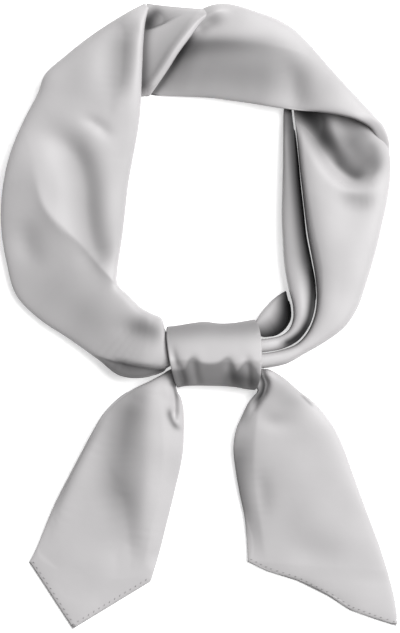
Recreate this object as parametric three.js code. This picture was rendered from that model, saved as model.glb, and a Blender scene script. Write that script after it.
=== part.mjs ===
// A square satin scarf, folded on the bias into a band, closed into a neck loop by one wrapped knot
// and laid flat, so that its two ends fan out below the knot.
// Units are millimetres. X runs across the loop, +Y from the tails towards the back of the neck,
// and +Z up from the surface that the scarf lies on. The origin is on that surface, under the knot.
import * as THREE from "three";

// Driving dimensions.
const CLOTH_WALL = 1.0; // wall of one cloth layer
const LAP_LIFT = 1.7; // how far the tucked edge lies above the edge that covers it
const LEAST_ROOM = 0.9; // least air between the upper and the lower layer
const HEM_WIDTH = 2.6;
const HEM_HEIGHT = 1.9;
const HEM_REST = 0.3; // height of a hem's underside above the surface
const HEM_SIDES = 8;

// Shape of a section: a flattened loop of cloth with round sides and a flat underside.
const SIDE_ROUNDNESS = 2.5; // 2 is an ellipse, more is squarer
const SIDE_HEIGHT = 0.46; // height of the two side folds, as a share of the thickness
const UNDERSIDE_FLATNESS = 1.2; // more gives a wider flat underside
const LAP_ANGLES = [0.35, 1.1]; // radians under side fold b between which its cloth lifts for the lap
const RELIEF_RISE = 0.6; // share of the crown's rise over which a fold reaches its full height
const SIDE_WALL_SHARE = 0.3; // most that the wall takes of a narrow section's width

const UNDER_STEPS = 4; // steps of a section along the cloth turned under at each side
const FOLD_LINE_STEPS = 4; // straight pieces between two points of a fold's line

const SATIN = new THREE.MeshStandardMaterial({ color: 0xc4c3c5, roughness: 0.38, metalness: 0 });
const ROLLED_HEM = new THREE.MeshStandardMaterial({ color: 0xb9b8ba, roughness: 0.5, metalness: 0 });

// Names the columns of a table, so that each row can stay one short line.
function table(columns, rows) {
  return rows.map((row) => Object.fromEntries(columns.map((name, k) => [name, row[k]])));
}

// A row for each section: its side folds a and b as seen from above (ax, ay and bx, by), the height
// of the underside at each (az, bz), the thickness, how far the cloth turns under each side
// (1 reaches the middle of the underside), and how far the crown bows along the band.
const SECTION = ["ax", "ay", "az", "bx", "by", "bz", "thick", "underA", "underB", "bow"];
const LAPPED = 1.08; // turned under from both sides until the edges lap

// A row for each fold: the points of its line, its height (a valley is negative), its width to the
// left and to the right of that line, and the shares of its length over which its two ends fade.
const FOLD = ["line", "height", "left", "right", "fadeIn", "fadeOut"];

const BANDS = {
  // From inside the knot, round the left of the neck opening, to the point at the top.
  left_neck_band: {
    crownSteps: 14,
    sections: table(SECTION, [
      [-6, -6, 3.2, -6, 11, 3.2, 15, LAPPED, LAPPED, 0],
      [-27.6, -7.4, 3, -29, 11.6, 3, 17, LAPPED, LAPPED, 0],
      [-31.5, -10.2, 0.8, -31.2, 19, 0.8, 20, LAPPED, LAPPED, 0],
      [-40, -13.2, 0, -36.6, 22, 0, 21, LAPPED, LAPPED, 0],
      [-54, -12.6, 0, -43, 25.6, 0, 20, LAPPED, LAPPED, 0],
      [-67, -3.4, 0, -50, 32.5, 0, 19, LAPPED, LAPPED, 0],
      [-83, 8, 0, -55.8, 38.5, 0, 18, LAPPED, LAPPED, 0],
      [-100, 19.3, 0, -56, 46.5, 0, 17, LAPPED, LAPPED, 0],
      [-112, 31.5, 0, -54.8, 55, 0, 17, LAPPED, LAPPED, 0],
      [-118, 51, 0, -53.2, 66, 0, 17, LAPPED, LAPPED, 0],
      [-121, 73, 0, -51.7, 79, 0, 17, LAPPED, LAPPED, 0],
      [-119.7, 93.5, 0, -50, 94, 0, 17, LAPPED, LAPPED, 0],
      [-115.3, 112, 0, -47.6, 107.5, 0, 17, LAPPED, LAPPED, 0],
      [-107.5, 130.5, 0, -45, 121, 1, 17, LAPPED, LAPPED, 0],
      [-97.6, 149.4, 0, -43.2, 134, 2.5, 17, LAPPED, LAPPED, 0],
      [-85, 165, 0, -42.7, 147, 3.5, 17, LAPPED, LAPPED, 0],
      [-70.5, 176.4, 0, -42.2, 160, 4, 16, LAPPED, LAPPED, 0],
      [-57, 185.4, 0, -41.6, 173, 4, 15, LAPPED, LAPPED, 0],
      [-47, 191.3, 0, -40.5, 184, 4, 13, LAPPED, LAPPED, 0],
      [-41, 194.6, 0, -38.8, 191.6, 3, 9, LAPPED, LAPPED, 0],
    ]),
    folds: table(FOLD, [
      [[[-104, 108], [-96, 84], [-74, 59], [-54, 38]], 3.2, 1.2, 10, 0.3, 0.05],
      [[[-90, 128], [-72, 107], [-68, 80], [-63, 48]], -3.4, 8, 9, 0.2, 0.15],
      [[[-54, 182], [-56, 158], [-56, 132], [-62, 118]], -2.6, 7, 9, 0.2, 0.35],
      [[[-104, 84], [-100, 56], [-84, 32]], -1.8, 9, 9, 0.35, 0.35],
      [[[-56, -5], [-42, -8.5], [-27, -9]], -4, 3.2, 1.4, 0.3, 0.05],
      [[[-52, 24], [-40, 15]], -2.4, 6, 6, 0.4, 0.4],
    ]),
  },

  // The stretch that turns over at the top left, between that point and the rolled edge.
  twist_panel: {
    crownSteps: 10,
    sections: table(SECTION, [
      [-45, 142.6, 0, -38.4, 142.8, 4.6, 5, 0.3, 0.8, 0],
      [-45.3, 148, 0, -34.8, 147.6, 5.6, 6.5, 0.3, 0.8, 0],
      [-45, 158, 0, -27.8, 157.6, 6.5, 8, 0.3, 0.8, 0],
      [-44, 167, 0, -22.2, 166.4, 7, 9, 0.3, 0.8, 0],
      [-42.6, 176, 0, -16.4, 174.6, 7.4, 9, 0.3, 0.8, 0],
      [-41, 182.6, 0, -11.6, 180.4, 7.4, 9, 0.3, 0.8, 0],
      [-39.8, 187.4, 0, -8.4, 184.6, 7.6, 8.6, 0.3, 0.8, 0],
      [-38.2, 191.4, 0, -9, 188, 7, 7, 0.3, 0.7, 0],
      [-36.8, 194.4, 0, -13, 190.4, 3, 4, 0, 0, 1.4],
    ]),
    folds: table(FOLD, [
      [[[-42, 181.5], [-36, 182.5], [-30, 184.5], [-24, 186.5]], -5.5, 4.5, 1.6, 0.05, 0.4],
      [[[-37, 148], [-29, 160], [-21, 171.5], [-13, 183]], 1.6, 4, 2, 0.1, 0.3],
    ]),
  },

  // From under the rolled edge, round the back of the neck, to the turn at the right.
  top_neck_band: {
    crownSteps: 14,
    sections: table(SECTION, [
      [-20, 185.6, 0, -39.4, 144.4, 0, 4.6, LAPPED, LAPPED, 0],
      [-14.4, 189, 0, -34.4, 143.5, 0, 5.2, LAPPED, LAPPED, 0],
      [-9, 191.6, 0, -28, 143.1, 0, 9.2, LAPPED, LAPPED, 0],
      [-3, 193.7, 0, -20.4, 142.8, 0, 12.5, LAPPED, LAPPED, 0],
      [4, 194.2, 0, -12, 142.4, 0, 14, LAPPED, LAPPED, 0],
      [12.5, 192.5, 0, -3, 141.8, 0, 15, LAPPED, LAPPED, 0],
      [22, 189.4, 0, 7, 140.4, 1, 15, LAPPED, LAPPED, 0],
      [32, 185.8, 0, 17, 138.9, 3, 14, LAPPED, LAPPED, 0],
      [42, 180, 0, 26, 137.3, 5.4, 12.5, LAPPED, LAPPED, 0],
      [51, 171.2, 0, 36, 135.8, 5.4, 11.5, LAPPED, LAPPED, 0],
      [60, 160.8, 1, 46, 134.5, 5.4, 11.5, LAPPED, LAPPED, 0],
      [69, 150.6, 3, 56, 133.7, 5.4, 11, LAPPED, LAPPED, 0],
      [77.6, 141.4, 5, 67, 132, 5.6, 10, LAPPED, LAPPED, 0],
      [85.6, 132.8, 6, 77, 129.2, 6.4, 8, LAPPED, LAPPED, 0],
      [91.6, 126.4, 6.2, 84.6, 124.8, 6.2, 6.2, LAPPED, LAPPED, 0],
      [94.4, 120, 6, 89.6, 119.6, 6, 5, LAPPED, LAPPED, 0],
    ]),
    folds: table(FOLD, [
      [[[-24, 166], [-10, 169], [8, 169.5], [28, 169], [50, 165]], -5, 4.5, 7, 0.1, 0.5],
      [[[-12, 182.5], [0, 185.5]], -1.8, 3, 3, 0.35, 0.4],
      [[[34, 162], [40, 142]], -1.2, 6, 5, 0.4, 0.2],
    ]),
  },

  // The outer roll at the right, from under the turn down into the knot.
  right_neck_band: {
    crownSteps: 14,
    sections: table(SECTION, [
      [84, 130.4, 0, 41.6, 138.2, 0, 6.4, LAPPED, LAPPED, 0],
      [90.4, 122.6, 0, 42.2, 132.6, 0, 6.2, LAPPED, LAPPED, 0],
      [94.6, 113.5, 0, 43.2, 123.9, 0, 9, LAPPED, LAPPED, 0],
      [95.6, 104, 0, 44.2, 112.8, 0, 12.5, LAPPED, LAPPED, 0],
      [95, 94, 0, 45.2, 101.7, 0, 15, LAPPED, LAPPED, 0],
      [93.4, 83.3, 0, 46.4, 90.6, 0, 16, LAPPED, LAPPED, 0],
      [91, 72.8, 0, 47.8, 78.3, 0, 16.5, LAPPED, LAPPED, 0],
      [88.4, 61, 0, 49.4, 66.1, 0, 17, LAPPED, LAPPED, 0],
      [85.2, 49.4, 0, 51.6, 54.4, 0, 17, LAPPED, LAPPED, 0],
      [81.4, 37.2, 0, 53.6, 43, 0, 17, LAPPED, LAPPED, 0],
      [77, 25, 0, 54.5, 31.5, 0, 17, LAPPED, LAPPED, 0],
      [70, 14.6, 0, 53.4, 21.5, 0, 17, LAPPED, LAPPED, 0],
      [60, 7, 0, 49.6, 12.2, 0, 17, LAPPED, LAPPED, 0],
      [48, 0, 0, 43.4, 5.4, 0, 17, LAPPED, LAPPED, 0],
      [37.4, -5.8, 1.5, 35.8, 2.2, 1.5, 16.5, LAPPED, LAPPED, 0],
      [28.6, -7.6, 3.2, 28.6, 0.6, 3.2, 15.5, LAPPED, LAPPED, 0],
      [2, -7.4, 3.2, 2, 0.8, 3.2, 14, LAPPED, LAPPED, 0],
    ]),
    folds: table(FOLD, [
      [[[49, 132], [57, 118], [64, 105], [72, 98], [82, 95.5], [90, 100]], 4, 1.4, 13, 0.1, 0.3],
      [[[65, 128], [72, 110]], 1.8, 3.5, 3.5, 0.3, 0.3],
      [[[91, 124], [93.4, 112], [92.6, 99]], 2, 2, 2, 0.3, 0.4],
      [[[64, 88], [84, 83]], -1.1, 3.5, 4.5, 0.35, 0.35],
    ]),
  },

  // The pleat that lies inside that roll, along the neck opening.
  right_inner_pleat: {
    crownSteps: 8,
    sections: table(SECTION, [
      [40.4, 138.6, 0, 36.4, 138.6, 0, 4.6, LAPPED, LAPPED, 0],
      [41.2, 131, 0, 36, 131, 0, 7, LAPPED, LAPPED, 0],
      [42.6, 120, 0, 35.9, 119, 0, 9.5, LAPPED, LAPPED, 0],
      [44, 107, 0, 35.7, 106, 0, 11, LAPPED, LAPPED, 0],
      [45.2, 94, 0, 35.4, 93, 0, 11.5, LAPPED, LAPPED, 0],
      [46.8, 80, 0, 35, 79, 0, 12, LAPPED, LAPPED, 0],
      [48.6, 64, 0, 35.6, 62, 0, 12.5, LAPPED, LAPPED, 0],
      [51.2, 51, 0, 36.5, 49, 0, 13, LAPPED, LAPPED, 0],
      [53.6, 37, 0, 38.6, 37, 0, 13.5, LAPPED, LAPPED, 0],
      [53.4, 25, 0, 41.2, 26.6, 0, 14, LAPPED, LAPPED, 0],
      [50, 14.6, 0, 41.2, 18.6, 0, 14.5, LAPPED, LAPPED, 0],
      [44, 7, 0.5, 38.6, 12.8, 0.5, 15, LAPPED, LAPPED, 0],
      [36, 2.8, 2.2, 33.6, 9.6, 2.2, 15, LAPPED, LAPPED, 0],
      [28.6, 1.2, 3.2, 28, 8.4, 3.2, 15, LAPPED, LAPPED, 0],
      [3, 1.4, 3.2, 3, 8, 3.2, 13, LAPPED, LAPPED, 0],
    ]),
    folds: table(FOLD, [
      [[[41, 128], [43, 108], [45.6, 84], [50, 52], [51.8, 34], [48, 14]], -3, 3, 4, 0.1, 0.2],
    ]),
  },

  // The stretch that wraps the knot. Its sections run along the knot, and its ends are open.
  knot_wrap: {
    crownSteps: 16,
    sections: table(SECTION, [
      [-28.3, 15, 0, -22.4, -19, 0, 23.5, 1.12, 1, -2],
      [-23, 15.6, 0, -18.6, -18.2, 0, 24.4, 1.12, 1, -1.4],
      [-15.6, 16.8, 0, -11.6, -17.9, 0, 25, 1.12, 1, -0.6],
      [-8, 17.7, 0, -5, -18, 0, 25, 1.12, 1, 0],
      [0, 16.8, 0, 2, -18.2, 0, 25, 1.12, 1, 0.8],
      [8, 17, 0, 9.6, -18.8, 0, 25, 1.12, 1, 2],
      [14.6, 18, 0, 15.4, -19.9, 0, 25, 1.12, 1, 3.2],
      [19.4, 18.8, 0, 19.6, -20.3, 0, 24.5, 1.12, 1, 4.2],
    ]),
    folds: table(FOLD, [
      [[[-25, 5], [-22.5, -3], [-20.5, -9], [-18, -18]], -2.2, 1.8, 1.8, 0.3, 0],
      [[[-13, -2], [-11, -17]], -1.5, 2.4, 2.4, 0.4, 0],
      [[[5, -2], [7, -17]], -1.3, 2.6, 2.2, 0.4, 0],
      [[[15.5, -2], [16, -17]], -1.4, 2, 2, 0.4, 0],
      [[[-11, 15], [-9, 6]], -0.9, 3, 3, 0, 0.5],
    ]),
  },

  // The bulge of cloth that leaves the top right corner of the knot.
  knot_side_fold: {
    crownSteps: 8,
    sections: table(SECTION, [
      [6, 13.8, 9, 6, 9.4, 9, 6, 1, 1, 0],
      [18.6, 14.6, 8, 20.6, 9.6, 8, 8, 1, 1, 0],
      [21.8, 20.2, 4, 26.5, 9.6, 4, 10, 1, 1, 0],
      [26.6, 26.4, 1, 33, 11, 1, 12, 1, 1, 0],
      [30.6, 30.4, 0, 37.2, 14.6, 0, 12, 1, 1, 0],
      [34.6, 33.2, 0, 39.8, 20, 0, 10, 1, 1, 0],
      [37.4, 34.8, 0, 39.4, 27.6, 0, 6, 1, 1, 0],
    ]),
    folds: table(FOLD, [[[[28, 11], [35, 15], [39, 25]], -5, 5, 5, 0.3, 0.1]]),
  },

  // The end with the square corner, whose two sides are folded under it.
  left_tail: {
    crownSteps: 12,
    sections: table(SECTION, [
      [-8, -8.2, 3.5, -8, -13.6, 4.4, 9, 1, 1, 0],
      [-27.2, -9, 3.5, -23.8, -15.4, 4.9, 11, 1, 1, 0],
      [-31.4, -11.6, 2, -23, -20.8, 2, 12, 1, 1, 0],
      [-38, -15.2, 0.5, -20.8, -24.6, 0.5, 13, 0.95, 0.95, 0],
      [-46.5, -19.2, 0, -19.5, -29.6, 0, 13, 0.9, 0.9, 0],
      [-56, -25.2, 0, -19, -36.4, 0, 12.5, 0.85, 0.85, 0],
      [-64, -33.4, 0, -19.1, -44.4, 0, 11.5, 0.8, 0.8, 0],
      [-70.4, -44, 0, -19.5, -53.6, 0, 10.5, 0.75, 0.75, 0],
      [-77.2, -56.6, 0, -21, -63, 0, 9.5, 0.7, 0.7, 0],
      [-83.8, -69.2, 0, -23.5, -73.5, 0, 8.5, 0.65, 0.65, 0],
      [-90.4, -82, 0, -26.5, -86, 0, 7.5, 0.55, 0.55, 0],
      [-96, -95, 0, -29.7, -98.5, 0, 6.5, 0.45, 0.45, 0],
      [-100.6, -106.5, 0, -32.6, -110, 0, 5, 0.3, 0.3, 0],
      [-103.2, -114.4, 0, -37, -123.6, 0, 3.4, 0, 0, 0],
      [-95.6, -126, 0, -50.7, -130.7, 0, 2.8, 0, 0, 0],
      [-88, -137.4, 0, -64.9, -140, 0, 2.6, 0, 0, 0],
      [-81.4, -147.4, 0, -79.2, -149, 0, 2.4, 0, 0, 0],
    ]),
    folds: table(FOLD, [
      [[[-50, -28], [-54, -54], [-52, -76], [-46, -110]], -3, 8, 8, 0.15, 0.3],
      [[[-33, -18], [-32, -45], [-33, -75], [-38, -112]], 1.4, 5, 5, 0.1, 0.3],
      [[[-78, -66], [-86, -100]], 1, 6, 5, 0.35, 0.3],
      [[[-25, -22], [-24, -38]], -2, 2.2, 2, 0.2, 0.3],
    ]),
  },

  // The other end, folded along its diagonal, so that its point is half a square corner.
  right_tail: {
    crownSteps: 12,
    sections: table(SECTION, [
      [7, -13.6, 4.4, 7, -8.2, 3.5, 9, 1, 1, 0],
      [19.2, -15.8, 5.2, 22.6, -9.2, 3.5, 11, 1, 1, 0],
      [21.6, -20.8, 2, 27.6, -8.8, 2, 12, 1, 1, 0],
      [19.6, -23.4, 0.5, 35.6, -13, 0.5, 13, 0.9, 1, 0],
      [16.3, -27.8, 0, 44.8, -20.8, 0, 13, 0.8, 1.05, 0],
      [13, -34.6, 0, 53.6, -27.6, 0, 12, 0.7, 1.1, 0],
      [9.6, -42.6, 0, 62.8, -38.8, 0, 11, 0.6, 1.15, 0],
      [8.2, -52.4, 0, 68.6, -50, 0, 10, 0.5, 1.2, 0],
      [9.4, -64.5, 0, 73.4, -63, 0, 9, 0.45, 1.25, 0],
      [11.6, -77.5, 0, 78.8, -78, 0, 8, 0.4, 1.3, 0],
      [14.4, -91, 0, 84.2, -92.5, 0, 7, 0.35, 1.35, 0],
      [15.6, -103.6, 0, 89.6, -107, 0, 5.6, 0.25, 1.4, 0],
      [16.4, -112.6, 0, 94.2, -121.4, 0, 4.6, 0.1, 1.45, 0],
      [27.8, -118.7, 0, 95.6, -126.6, 0, 4.2, 0, 1.5, 0],
      [45, -123.8, 0, 97, -132, 0, 4, 0, 1.5, 0],
      [62, -132.5, 0, 98.4, -138.4, 0, 3.8, 0, 1.5, 0],
      [74.4, -139.8, 0, 99, -142.6, 0, 3.6, 0, 1.3, 0],
      [88.6, -145.2, 0, 99.4, -146.2, 0, 3.2, 0, 1, 0],
      [95.6, -147.3, 0, 99, -148.1, 0, 2.8, 0, 0.6, 0],
    ]),
    folds: table(FOLD, [
      [[[26, -12], [29, -17.5], [26, -24], [21, -30]], -4, 2, 2, 0.1, 0.3],
      [[[19, -58], [24, -80], [24, -98]], -2, 4, 4, 0.3, 0.3],
      [[[30, -34], [44, -62], [52, -100]], 1.2, 10, 10, 0.2, 0.2],
    ]),
  },
};

// The outer edge of each hem, from one side fold of its tail to the other.
const HEMS = {
  left_tail_hem: [[-105.6, -116.2], [-81.2, -153.6], [-37.6, -127]],
  right_tail_hem: [
    [16, -116], [27, -121.4], [44, -126.8], [61, -135.2], [73, -143], [88, -148.4], [99, -151.8],
  ],
};

const ramp = (low, high, x) => THREE.MathUtils.smoothstep(x, low, high);
const signedPower = (x, exponent) => Math.sign(x) * Math.abs(x) ** exponent;

// Height that one fold adds at the point (x, y), by its distance from the fold's line.
function foldHeight(fold, x, y) {
  const curve = new THREE.SplineCurve(fold.line.map(([px, py]) => new THREE.Vector2(px, py)));
  const points = curve.getPoints((fold.line.length - 1) * FOLD_LINE_STEPS);
  let nearest = { distance: Infinity };
  for (let k = 0; k < points.length - 1; k++) {
    const run = points[k + 1].clone().sub(points[k]);
    const offset = new THREE.Vector2(x, y).sub(points[k]);
    const step = THREE.MathUtils.clamp(offset.dot(run) / run.lengthSq(), 0, 1);
    const across = offset.clone().addScaledVector(run, -step);
    if (across.length() < nearest.distance) {
      const share = (k + step) / (points.length - 1);
      nearest = { distance: across.length(), onLeft: run.cross(across) > 0, share };
    }
  }
  const width = nearest.onLeft ? fold.left : fold.right;
  const start = fold.fadeIn ? ramp(0, fold.fadeIn, nearest.share) : 1;
  const finish = fold.fadeOut ? ramp(0, fold.fadeOut, 1 - nearest.share) : 1;
  return fold.height * start * finish * Math.exp(-((nearest.distance / width) ** 2));
}

// The angles round a section: 0 is side fold b, 90 degrees the crown, 180 side fold a, and the rest
// the cloth turned under. They run from the free edge under b to the free edge under a.
function sectionAngles(band, { underA, underB }) {
  const angles = [];
  for (let k = UNDER_STEPS; k > 0; k--) angles.push(-Math.PI / 2 * underB * k / UNDER_STEPS);
  for (let k = 0; k <= band.crownSteps; k++) angles.push(Math.PI * k / band.crownSteps);
  for (let k = 1; k <= UNDER_STEPS; k++) angles.push(Math.PI + Math.PI / 2 * underA * k / UNDER_STEPS);
  return angles;
}

// Outer and inner points of the cloth round one section of a band.
function sectionPoints(band, section) {
  const a = new THREE.Vector2(section.ax, section.ay);
  const b = new THREE.Vector2(section.bx, section.by);
  const width = a.distanceTo(b);
  const across = b.clone().sub(a).normalize();
  const along = new THREE.Vector2(-across.y, across.x);
  const points = sectionAngles(band, section).map((angle) => {
    const share = 0.5 + 0.5 * signedPower(Math.cos(angle), 2 / SIDE_ROUNDNESS);
    const rise = Math.max(0, Math.sin(angle));
    const fall = Math.max(0, -Math.sin(angle));
    const bow = section.bow * rise;
    const spot = a.clone().addScaledVector(across, share * width).addScaledVector(along, bow);
    const base = THREE.MathUtils.lerp(section.az, section.bz, share);
    const side = Math.max(0, SIDE_HEIGHT * (1 - UNDERSIDE_FLATNESS * fall));
    const lift = LAP_LIFT * ramp(...LAP_ANGLES, -angle);
    let z = base + section.thick * (side + (1 - SIDE_HEIGHT) * rise) + lift;
    if (rise > 0) {
      const relief = band.folds.reduce((sum, fold) => sum + foldHeight(fold, spot.x, spot.y), 0);
      const lowest = base + 2 * CLOTH_WALL + LAP_LIFT + LEAST_ROOM;
      z = Math.max(z + relief * ramp(0, RELIEF_RISE, rise), Math.min(z, lowest));
    }
    return { s: share * width, z, bow };
  });
  const place = (s, bow, z) => {
    const spot = a.clone().addScaledVector(across, s).addScaledVector(along, bow);
    return new THREE.Vector3(spot.x, spot.y, z);
  };
  const inner = points.map((point, k) => {
    const before = points[Math.max(k - 1, 0)];
    const after = points[Math.min(k + 1, points.length - 1)];
    const run = new THREE.Vector2(after.s - before.s, after.z - before.z).normalize();
    const sideways = Math.min(CLOTH_WALL, SIDE_WALL_SHARE * width);
    return place(point.s - run.y * sideways, point.bow, point.z + run.x * CLOTH_WALL);
  });
  return { outer: points.map((point) => place(point.s, point.bow, point.z)), inner };
}

// A geometry whose faces point out of the body.
function facingOut(positions, faces) {
  const corner = (k) => new THREE.Vector3().fromArray(positions, 3 * faces[k]);
  let volume = 0;
  for (let k = 0; k < faces.length; k += 3) volume += corner(k).dot(corner(k + 1).cross(corner(k + 2)));
  const geometry = new THREE.BufferGeometry();
  geometry.setAttribute("position", new THREE.Float32BufferAttribute(positions, 3));
  geometry.setIndex(volume < 0 ? faces.slice().reverse() : faces);
  geometry.computeVertexNormals();
  return geometry;
}

// Joins closed rings of points, which all have the same count, side to side.
function joinRings(ringCount, size) {
  const faces = [];
  for (let i = 0; i < ringCount - 1; i++) {
    for (let j = 0; j < size; j++) {
      const [p, q] = [i * size + j, i * size + (j + 1) % size];
      faces.push(p, q, q + size, p, q + size, p + size);
    }
  }
  return faces;
}

// A band of cloth: each ring runs along the outer points and back along the inner ones, and each
// end is closed by a strip between the two.
function bandGeometry(band) {
  const rings = band.sections.map((section) => {
    const { outer, inner } = sectionPoints(band, section);
    return [...outer, ...inner.reverse()];
  });
  const size = rings[0].length;
  const faces = joinRings(rings.length, size);
  const end = (rings.length - 1) * size;
  for (let j = 0; j < size / 2 - 1; j++) {
    const [p, q, r, s] = [j, j + 1, size - 2 - j, size - 1 - j];
    faces.push(p, s, r, p, r, q);
    faces.push(end + p, end + q, end + r, end + p, end + r, end + s);
  }
  return facingOut(rings.flat().flatMap((point) => point.toArray()), faces);
}

// A rolled hem: a flattened bar along the cloth's edge, with its outer side on that edge.
function hemGeometry(edge) {
  const corners = edge.map(([x, y]) => new THREE.Vector2(x, y));
  const last = corners.length - 1;
  const sideways = (from, to) => new THREE.Vector2(from.y - to.y, to.x - from.x).normalize();
  const positions = [];
  corners.forEach((corner, k) => {
    const before = sideways(corners[Math.max(k - 1, 0)], corners[Math.max(k, 1)]);
    const after = sideways(corners[Math.min(k, last - 1)], corners[Math.min(k + 1, last)]);
    const mitre = before.clone().add(after);
    mitre.divideScalar(mitre.lengthSq() / 2);
    for (let j = 0; j < HEM_SIDES; j++) {
      const angle = 2 * Math.PI * j / HEM_SIDES;
      const inward = HEM_WIDTH / 2 * (1 + Math.cos(angle));
      const z = HEM_REST + HEM_HEIGHT / 2 * (1 + Math.sin(angle));
      positions.push(corner.x + mitre.x * inward, corner.y + mitre.y * inward, z);
    }
  });
  const faces = joinRings(corners.length, HEM_SIDES);
  const end = last * HEM_SIDES;
  for (let j = 1; j < HEM_SIDES - 1; j++) faces.push(0, j + 1, j, end, end + j, end + j + 1);
  return facingOut(positions, faces);
}

function addPiece(name, geometry, material) {
  const mesh = new THREE.Mesh(geometry, material);
  mesh.name = name;
  scarf.add(mesh);
}

const scarf = new THREE.Group();
for (const [name, band] of Object.entries(BANDS)) addPiece(name, bandGeometry(band), SATIN);
for (const [name, edge] of Object.entries(HEMS)) addPiece(name, hemGeometry(edge), ROLLED_HEM);

export default scarf;
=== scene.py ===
"""A square satin scarf, folded on the bias into a band, closed into a neck loop by one wrapped knot and
laid flat. Each stretch of the cloth is a thin sheet lofted through the same sections as the CAD solids,
with the folds, the rolled hems and their stitches added."""
import math

import bmesh
import bpy
import numpy as np
from bpy.props import FloatProperty, FloatVectorProperty, PointerProperty
from mathutils import Matrix, Vector


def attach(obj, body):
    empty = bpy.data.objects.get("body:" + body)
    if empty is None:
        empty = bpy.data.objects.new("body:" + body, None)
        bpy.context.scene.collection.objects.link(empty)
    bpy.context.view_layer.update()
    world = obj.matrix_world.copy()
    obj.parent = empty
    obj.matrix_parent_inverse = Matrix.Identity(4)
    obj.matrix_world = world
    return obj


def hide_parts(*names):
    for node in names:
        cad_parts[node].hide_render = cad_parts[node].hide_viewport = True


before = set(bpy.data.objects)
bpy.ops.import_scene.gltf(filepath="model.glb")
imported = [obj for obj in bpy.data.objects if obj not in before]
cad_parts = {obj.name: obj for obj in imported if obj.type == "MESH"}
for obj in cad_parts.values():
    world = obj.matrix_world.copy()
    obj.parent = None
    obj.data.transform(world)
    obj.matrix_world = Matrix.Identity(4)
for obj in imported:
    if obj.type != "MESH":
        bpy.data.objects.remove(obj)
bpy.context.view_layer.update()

bl_info = {
    "name": "Square Satin Scarf",
    "version": (1, 0, 0),
    "blender": (4, 5, 0),
    "location": "3D View > Sidebar > Scarf",
    "description": "Builds a knotted square satin scarf from its folded bands, tails and hems",
    "category": "Add Mesh",
}

MM = 0.001  # metres; the values and tables below are in millimetres where nothing else is said

# Shape of a section: a flattened loop of cloth with round sides and a flat underside.
SIDE_ROUNDNESS = 2.5  # 2 is an ellipse, more is squarer
SIDE_HEIGHT = 0.46  # height of the two side folds, as a share of the thickness
CROWN_FLATNESS = 0.45  # less gives a crown that is flatter on top
UNDERSIDE_FLATNESS = 1.2  # more gives a wider flat underside
LAP_LIFT = 1.7  # how far the tucked edge lies above the edge that covers it
LAP_ANGLES = (0.35, 1.1)  # radians under side fold b between which its cloth lifts for the lap
LEAST_THICKNESS = 1
LEAST_TURN = 0.03  # so that a single layer's edge still has a face under it

# How the folds and falls shape the crown.
LINE_RUNS = 6  # straight runs between two points of a line
RELIEF_RISE = 0.4  # share of the crown's rise over which a fold reaches its full height
CREASE_ROUND = 0.6  # radius of the cloth at a sharp crease
SIDE_BLEND = 0.5  # share of a line's narrower side over which its left width changes to its right one
FALL_ROUND = 1.1  # radius of the cloth where it starts to fall away
FALL_SHARE = 1.15  # 1 starts a fall at its stated slope, more is steeper
LEAST_HEIGHT = 3.2  # of the upper layer above the underside, where a valley is deep

HEM_RUN = 3  # length of one straight run of a rolled hem
HEM_SIDES = 16
STITCH_HALF_WIDTH = 0.28
STITCH_HALF_HEIGHT = 0.2
STITCH_SLANT = 0.5  # radians
STITCH_REACH = 1.2  # how near to a stitch the cloth is looked at for the height that carries it

FLOAT_PITCH = 0.45  # threads of 0.15 mm are too fine to show, so the floats are drawn this far apart
WAVE_PHASE = 20  # radians that a Wave node's bands turn through in one metre at a scale of 1
LOOSE_PATCH = 26  # size of a patch of slightly uneven cloth
ROLL_GRAIN = 1.6  # size of the small puckers of a rolled hem
THREAD_GRAIN = 0.5
MIX_A, MIX_B, MIX_RESULT = 6, 7, 2  # sockets of a colour Mix node, whose names its other sockets share

# The photograph's 400 x 633 frame covers 222 x 351.3 mm of the surface, seen from straight above.
FRAME_LENGTH = 351.3
FRAME_MIDDLE = (-10.3, 20.5)
FRAME_LEVEL = 8  # height above the surface at which the frame is that long
FLOOR_DROP = 0.2  # keeps the floor just clear of the undersides
FLOOR_HALF_SIDE = 4  # metres
SOFTBOX_PLACE = (1.42, 0.9, 2.54)  # metres; the photograph is lit from the upper right
SOFTBOX_AIM = (0, 0.02, 0)  # metres

# Sections: side fold a (x, y, height of the underside), side fold b (x, y, height), thickness, how far the
# cloth turns under at a and at b (1 reaches the middle of the underside), and how far the crown bows along
# the band. They are the CAD's, except where the cloth is shaped more finely: the left band's upper left
# corner, the upper end of the twist, the right end of the top band, and the lower parts of the tails, which
# are thinner and run on into the hems.
LAPPED = 1.08  # turned under from both sides until the edges lap

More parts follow.
